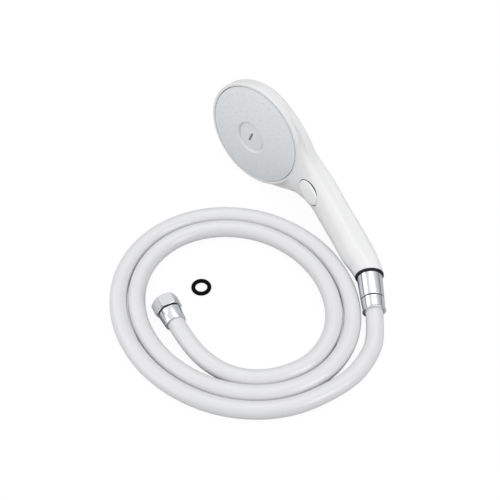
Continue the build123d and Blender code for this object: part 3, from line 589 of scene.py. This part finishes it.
makePiece("crimpSleeve", [turned(rounded([
    (union["nipple"], union["sleeveStart"], 0.2), (union["sleeve"], union["sleeveStart"], 0.45),
    (union["mouth"], union["mouthEnd"], 0.8), (union["lip"], union["lipStart"], 0.3),
    (union["lip"], union["sleeveEnd"], 0.3), (union["hose"], union["sleeveEnd"], 0.4),
    (union["hose"], union["hoseStart"], 0.1), (union["nipple"], union["hoseStart"], 0.1),
]), ferruleFrame)], "hose_line", "chrome_metal", ["crimp_sleeve"])

far = {"start": 3.6, "mouth": 10.0, "wide": 11.1, "end": 17.5, "hose": 8.4, "bed": 15.5, "neck": 6.75,
       "washer": 10.3, "washerStart": 17.52, "washerEnd": 18.7}
farSleeve = makePiece("farSleeve", [turned(rounded([
    (far["hose"], far["start"], 0.4), (far["mouth"], far["start"], 0.8), (far["wide"], far["end"], 0.6),
    (far["neck"], far["end"], 0.2), (far["neck"], far["bed"], 0.1), (far["hose"], far["bed"], 0.1),
]), farFrame)], "hose_line", "chrome_metal", ["far_sleeve"])
# Near-black ring in the gap between the far sleeve and the nut: painted shade for the gap's dark inside.
makePiece("farGapShade", [turned(rounded([
    (far["neck"], far["washerStart"], 0.1), (far["washer"], far["washerStart"], 0.1),
    (far["washer"], far["washerEnd"], 0.1), (far["neck"], far["washerEnd"], 0.1),
]), farFrame)], "hose_line", "black_ring")

nut = {"start": 18.8, "end": 31.8, "flats": 22.995, "corner": 13.15, "chamfer": 1.4, "chamferSlope": 1.6,
       "lowTrim": 0.05, "highTrim": 0.25, "hole": 6.9, "shoulder": 20.2, "relief": 10.4775, "reliefStep": 0.1,
       "mouth": 10.25, "mouthFoot": 9.5, "mouthDepth": 0.85, "threadStart": 22.8, "threadInset": 0.9,
       "threadFade": 1.2, "minor": 9.32, "ridge": 0.9, "pitch": 1.814, "columns": 120, "rows": 12, "threadRows": 60}


# Hexagon nut: the lesser of the hexagon's radius by angle and two chamfer cones, then the face, the threaded bore
# whose radius waves once a pitch and once a turn, the relief behind it and the floor's hole.
def nutGrid():
    angle = np.linspace(0, 2 * np.pi, nut["columns"] + 1)[None, :]
    apart = (np.degrees(angle) % 60) - 30
    flat = nut["flats"] / 2
    hexagon = flat / np.cos(np.radians(apart))
    low, high, first = nut["start"], nut["end"], nut["end"] - nut["threadInset"]
    step = np.linspace(0, nut["chamfer"], nut["rows"])
    z = np.r_[low + step, high - step[::-1]][:, None]
    cone = np.minimum(flat - nut["lowTrim"] + nut["chamferSlope"] * (z - low),
                      flat - nut["highTrim"] + nut["chamferSlope"] * (high - z))
    skin = np.minimum(np.minimum(hexagon, cone), nut["corner"])
    bore = np.linspace(first, nut["threadStart"], nut["threadRows"])[:, None]
    fade = np.clip((first - bore) / nut["threadFade"], 0, 1)
    wave = nut["minor"] + nut["ridge"] * (0.5 - 0.5 * np.cos(2 * np.pi * bore / nut["pitch"] - angle)) * fade
    ring = np.array([nut["hole"], nut["mouth"], nut["mouthFoot"], nut["relief"], nut["relief"], nut["hole"],
                     nut["hole"]])[:, None] + 0 * angle
    level = np.array([low, high, high - nut["mouthDepth"], nut["threadStart"] - nut["reliefStep"], nut["shoulder"],
                      nut["shoulder"], low])[:, None]
    r = np.concatenate([ring[:1], skin, ring[1:3], wave, ring[3:]])
    height = np.concatenate([level[:1], z, level[1:3], bore, level[3:]])
    return place(farFrame, np.stack([r * np.cos(angle), r * np.sin(angle), height + 0 * angle], -1))


hexNut = makePiece("hexNut", [nutGrid()], "nut", "chrome_metal", ["hose_nut"], 25)

oring = {"at": (12.0, -134.51, 2.05), "radius": 7.6, "wire": 2.0}
oringFrame = {"at": np.array(oring["at"]), "axes": np.eye(3)}
wireTurn = np.linspace(0, 2 * np.pi, 33)[:-1]
wireOutline = np.stack([oring["radius"] + oring["wire"] * np.cos(wireTurn), oring["wire"] * np.sin(wireTurn)], -1)
makePiece("sealRing", [turned(wireOutline, oringFrame)], "hose_line", "seal_rubber", ["nut_oring"])
print("fittings made")

grain = {"detail": 4, "drift": (0.3, 0.7), "height": 0.0002, "coatRough": 0.08}


# Plastic, rubber or metal: colour and roughness drift between two values with broad noise, fine noise lifts the skin.
def surface(name, look):
    material = bpy.data.materials.new(name)
    material.use_nodes = True
    tree = material.node_tree
    shader = tree.nodes["Principled BSDF"]
    where, broad, fine, tint, rough, bump = (tree.nodes.new(kind) for kind in (
        "ShaderNodeTexCoord", "ShaderNodeTexNoise", "ShaderNodeTexNoise", "ShaderNodeMix", "ShaderNodeMapRange",
        "ShaderNodeBump"))
    tint.data_type = "RGBA"
    broad.inputs["Scale"].default_value = look["broad"]
    broad.inputs["Detail"].default_value = grain["detail"]
    fine.inputs["Scale"].default_value = look["fine"]
    tint.inputs[6].default_value, tint.inputs[7].default_value = (*look["light"], 1), (*look["dark"], 1)
    rough.inputs["From Min"].default_value, rough.inputs["From Max"].default_value = grain["drift"]
    rough.inputs["To Min"].default_value, rough.inputs["To Max"].default_value = look["rough"]
    bump.inputs["Strength"].default_value = look["bump"]
    bump.inputs["Distance"].default_value = grain["height"]
    shader.inputs["Metallic"].default_value = look.get("metal", 0)
    shader.inputs["Specular IOR Level"].default_value = look.get("shine", 0.5)
    shader.inputs["Coat Weight"].default_value = look.get("coat", 0)
    shader.inputs["Coat Roughness"].default_value = grain["coatRough"]
    link = tree.links.new
    link(where.outputs["Object"], broad.inputs["Vector"])
    link(where.outputs["Object"], fine.inputs["Vector"])
    link(broad.outputs["Fac"], tint.inputs[0])
    link(broad.outputs["Fac"], rough.inputs["Value"])
    link(fine.outputs["Fac"], bump.inputs["Height"])
    link(tint.outputs[2], shader.inputs["Base Color"])
    link(rough.outputs["Result"], shader.inputs["Roughness"])
    link(bump.outputs["Normal"], shader.inputs["Normal"])
    return material


looks = {
    "white_body": {"light": (0.82, 0.82, 0.824), "dark": (0.79, 0.79, 0.794),
                   "rough": (0.28, 0.36), "broad": 25, "fine": 900, "bump": 0.03, "coat": 0.15},
    "white_button": {"light": (0.87, 0.87, 0.87), "dark": (0.85, 0.85, 0.85),
                     "rough": (0.26, 0.36), "broad": 30, "fine": 1100, "bump": 0.05},
    "grey_face": {"light": (0.77, 0.79, 0.805), "dark": (0.74, 0.76, 0.775),
                  "rough": (0.3, 0.38), "broad": 20, "fine": 1400, "bump": 0.06, "coat": 0.3},
    "inner_plastic": {"light": (0.74, 0.75, 0.76), "dark": (0.68, 0.69, 0.7),
                      "rough": (0.4, 0.55), "broad": 40, "fine": 900, "bump": 0.08},
    "seal_rubber": {"light": (0.005, 0.005, 0.006), "dark": (0.0025, 0.0025, 0.003),
                    "rough": (0.5, 0.62), "shine": 0.03, "broad": 120, "fine": 1500, "bump": 0.1},
    "black_ring": {"light": (0.02, 0.02, 0.022), "dark": (0.012, 0.012, 0.014),
                   "rough": (0.4, 0.55), "shine": 0.2, "broad": 90, "fine": 1300, "bump": 0.08},
    "steel_screw": {"light": (0.62, 0.62, 0.62), "dark": (0.52, 0.52, 0.53),
                    "rough": (0.2, 0.32), "metal": 1, "broad": 150, "fine": 1500, "bump": 0.08},
    "spring_steel": {"light": (0.58, 0.58, 0.59), "dark": (0.48, 0.48, 0.5),
                     "rough": (0.25, 0.38), "metal": 1, "broad": 150, "fine": 1500, "bump": 0.08},
    "chrome_metal": {"light": (0.8, 0.81, 0.84), "dark": (0.74, 0.75, 0.78),
                     "rough": (0.12, 0.2), "metal": 1, "broad": 60, "fine": 700, "bump": 0.02},
    "brass_nipple": {"light": (0.75, 0.57, 0.27), "dark": (0.65, 0.48, 0.2),
                     "rough": (0.2, 0.35), "metal": 1, "broad": 110, "fine": 1200, "bump": 0.08},
    "white_hose": {"light": (0.725, 0.725, 0.735), "dark": (0.685, 0.685, 0.695),
                   "rough": (0.28, 0.38), "broad": 18, "fine": 700, "bump": 0.06, "coat": 0.35},
    # dark grey of the sheet in the cap's slot: painted shade
    "slot_shade_paint": {"light": (0.22, 0.225, 0.23), "dark": (0.17, 0.175, 0.18),
                 "rough": (0.45, 0.6), "broad": 150, "fine": 1600, "bump": 0.08},
    "nozzle_rubber": {"light": (0.74, 0.76, 0.775), "dark": (0.7, 0.72, 0.735),
                      "rough": (0.45, 0.6), "broad": 150, "fine": 1600, "bump": 0.08},
}
materials = {name: surface(name + "_look", look) for name, look in looks.items()}
nodeSlots = {part["node"]: part["material_slot"] for part in frame["record"]["subparts"]}
for name, node in frame["nodes"].items():
    node.data.materials.clear()
    node.data.materials.append(materials[nodeSlots[name]])
ownLook = {"nozzles": "nozzle_rubber", "slotShadeSheet": "slot_shade_paint"}
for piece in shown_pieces():
    if "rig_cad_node" not in piece:
        piece.data.materials.clear()
        piece.data.materials.append(materials[ownLook.get(piece.name, piece["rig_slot"])])
print("materials set")

floorLook = {"half": 4, "level": -0.0002, "paint": (0.56, 0.56, 0.56, 1), "glow": 1.07, "share": 0.87}
floorMesh = bpy.data.meshes.new("floor")
floorCorners = [(x * floorLook["half"], y * floorLook["half"], floorLook["level"])
                for x, y in ((-1, -1), (1, -1), (1, 1), (-1, 1))]
floorMesh.from_pydata(floorCorners, [], [(0, 1, 2, 3)])
floor = bpy.data.objects.new("floor", floorMesh)
scene.collection.objects.link(floor)
floorMaterial = bpy.data.materials.new("floor")
floorMaterial.use_nodes = True
tree = floorMaterial.node_tree
tree.nodes.clear()
output, mix, paint, glow, path, share = (tree.nodes.new(kind) for kind in (
    "ShaderNodeOutputMaterial", "ShaderNodeMixShader", "ShaderNodeBsdfDiffuse", "ShaderNodeEmission",
    "ShaderNodeLightPath", "ShaderNodeMath"))
paint.inputs["Color"].default_value = floorLook["paint"]
glow.inputs["Strength"].default_value = floorLook["glow"]
share.operation = "MULTIPLY"
share.inputs[1].default_value = floorLook["share"]
tree.links.new(path.outputs["Is Camera Ray"], share.inputs[0])
tree.links.new(share.outputs[0], mix.inputs[0])
tree.links.new(paint.outputs[0], mix.inputs[1])
tree.links.new(glow.outputs[0], mix.inputs[2])
tree.links.new(mix.outputs[0], output.inputs["Surface"])
floorMesh.materials.append(floorMaterial)

sky = {"low": (0.2, 0.2, 0.2, 1), "middle": (0.2, 0.205, 0.215, 1), "high": (1, 1, 1, 1), "strength": 1.08}
world = bpy.data.worlds.new("studio")
scene.world = world
world.use_nodes = True
tree = world.node_tree
tree.nodes.clear()
output, mix, plain, around, path, where, split, rise, ramp = (tree.nodes.new(kind) for kind in (
    "ShaderNodeOutputWorld", "ShaderNodeMixShader", "ShaderNodeBackground", "ShaderNodeBackground",
    "ShaderNodeLightPath", "ShaderNodeTexCoord", "ShaderNodeSeparateXYZ", "ShaderNodeMapRange", "ShaderNodeValToRGB"))
rise.inputs["From Min"].default_value = -1
ramp.color_ramp.elements[0].color = sky["low"]
ramp.color_ramp.elements[1].color = sky["high"]
ramp.color_ramp.elements.new(0.5).color = sky["middle"]
around.inputs["Strength"].default_value = sky["strength"]
plain.inputs["Color"].default_value = (1, 1, 1, 1)
tree.links.new(where.outputs["Generated"], split.inputs[0])
tree.links.new(split.outputs["Z"], rise.inputs["Value"])
tree.links.new(rise.outputs["Result"], ramp.inputs["Fac"])
tree.links.new(ramp.outputs["Color"], around.inputs["Color"])
tree.links.new(path.outputs["Is Camera Ray"], mix.inputs[0])
tree.links.new(around.outputs[0], mix.inputs[1])
tree.links.new(plain.outputs[0], mix.inputs[2])
tree.links.new(mix.outputs[0], output.inputs["Surface"])

lamps = {
    "top": {"at": (-0.1, 0.35, 1.3), "aim": (0.0, -0.05, 0.0), "size": 1.1, "power": 1.6},
    "front": {"at": (-0.3, -1.4, 0.5), "aim": (0.0, -0.05, 0.03), "size": 1.2, "power": 5.0},
    "left": {"at": (-1.1, -0.7, 0.8), "aim": (0.0, -0.05, 0.05), "size": 0.9, "power": 2.6},
    "right": {"at": (1.2, 0.2, 0.7), "aim": (0.05, -0.05, 0.05), "size": 0.7, "power": 4.6},
}
for name, lamp in lamps.items():
    data = bpy.data.lights.new(name, "AREA")
    data.shape = "DISK"
    data.size = lamp["size"]
    data.energy = lamp["power"]
    light = bpy.data.objects.new(name, data)
    light.location = lamp["at"]
    light.rotation_euler = (Vector(lamp["aim"]) - Vector(lamp["at"])).to_track_quat("-Z", "Y").to_euler()
    scene.collection.objects.link(light)
scene.view_settings.view_transform = "Standard"
print("lights set")
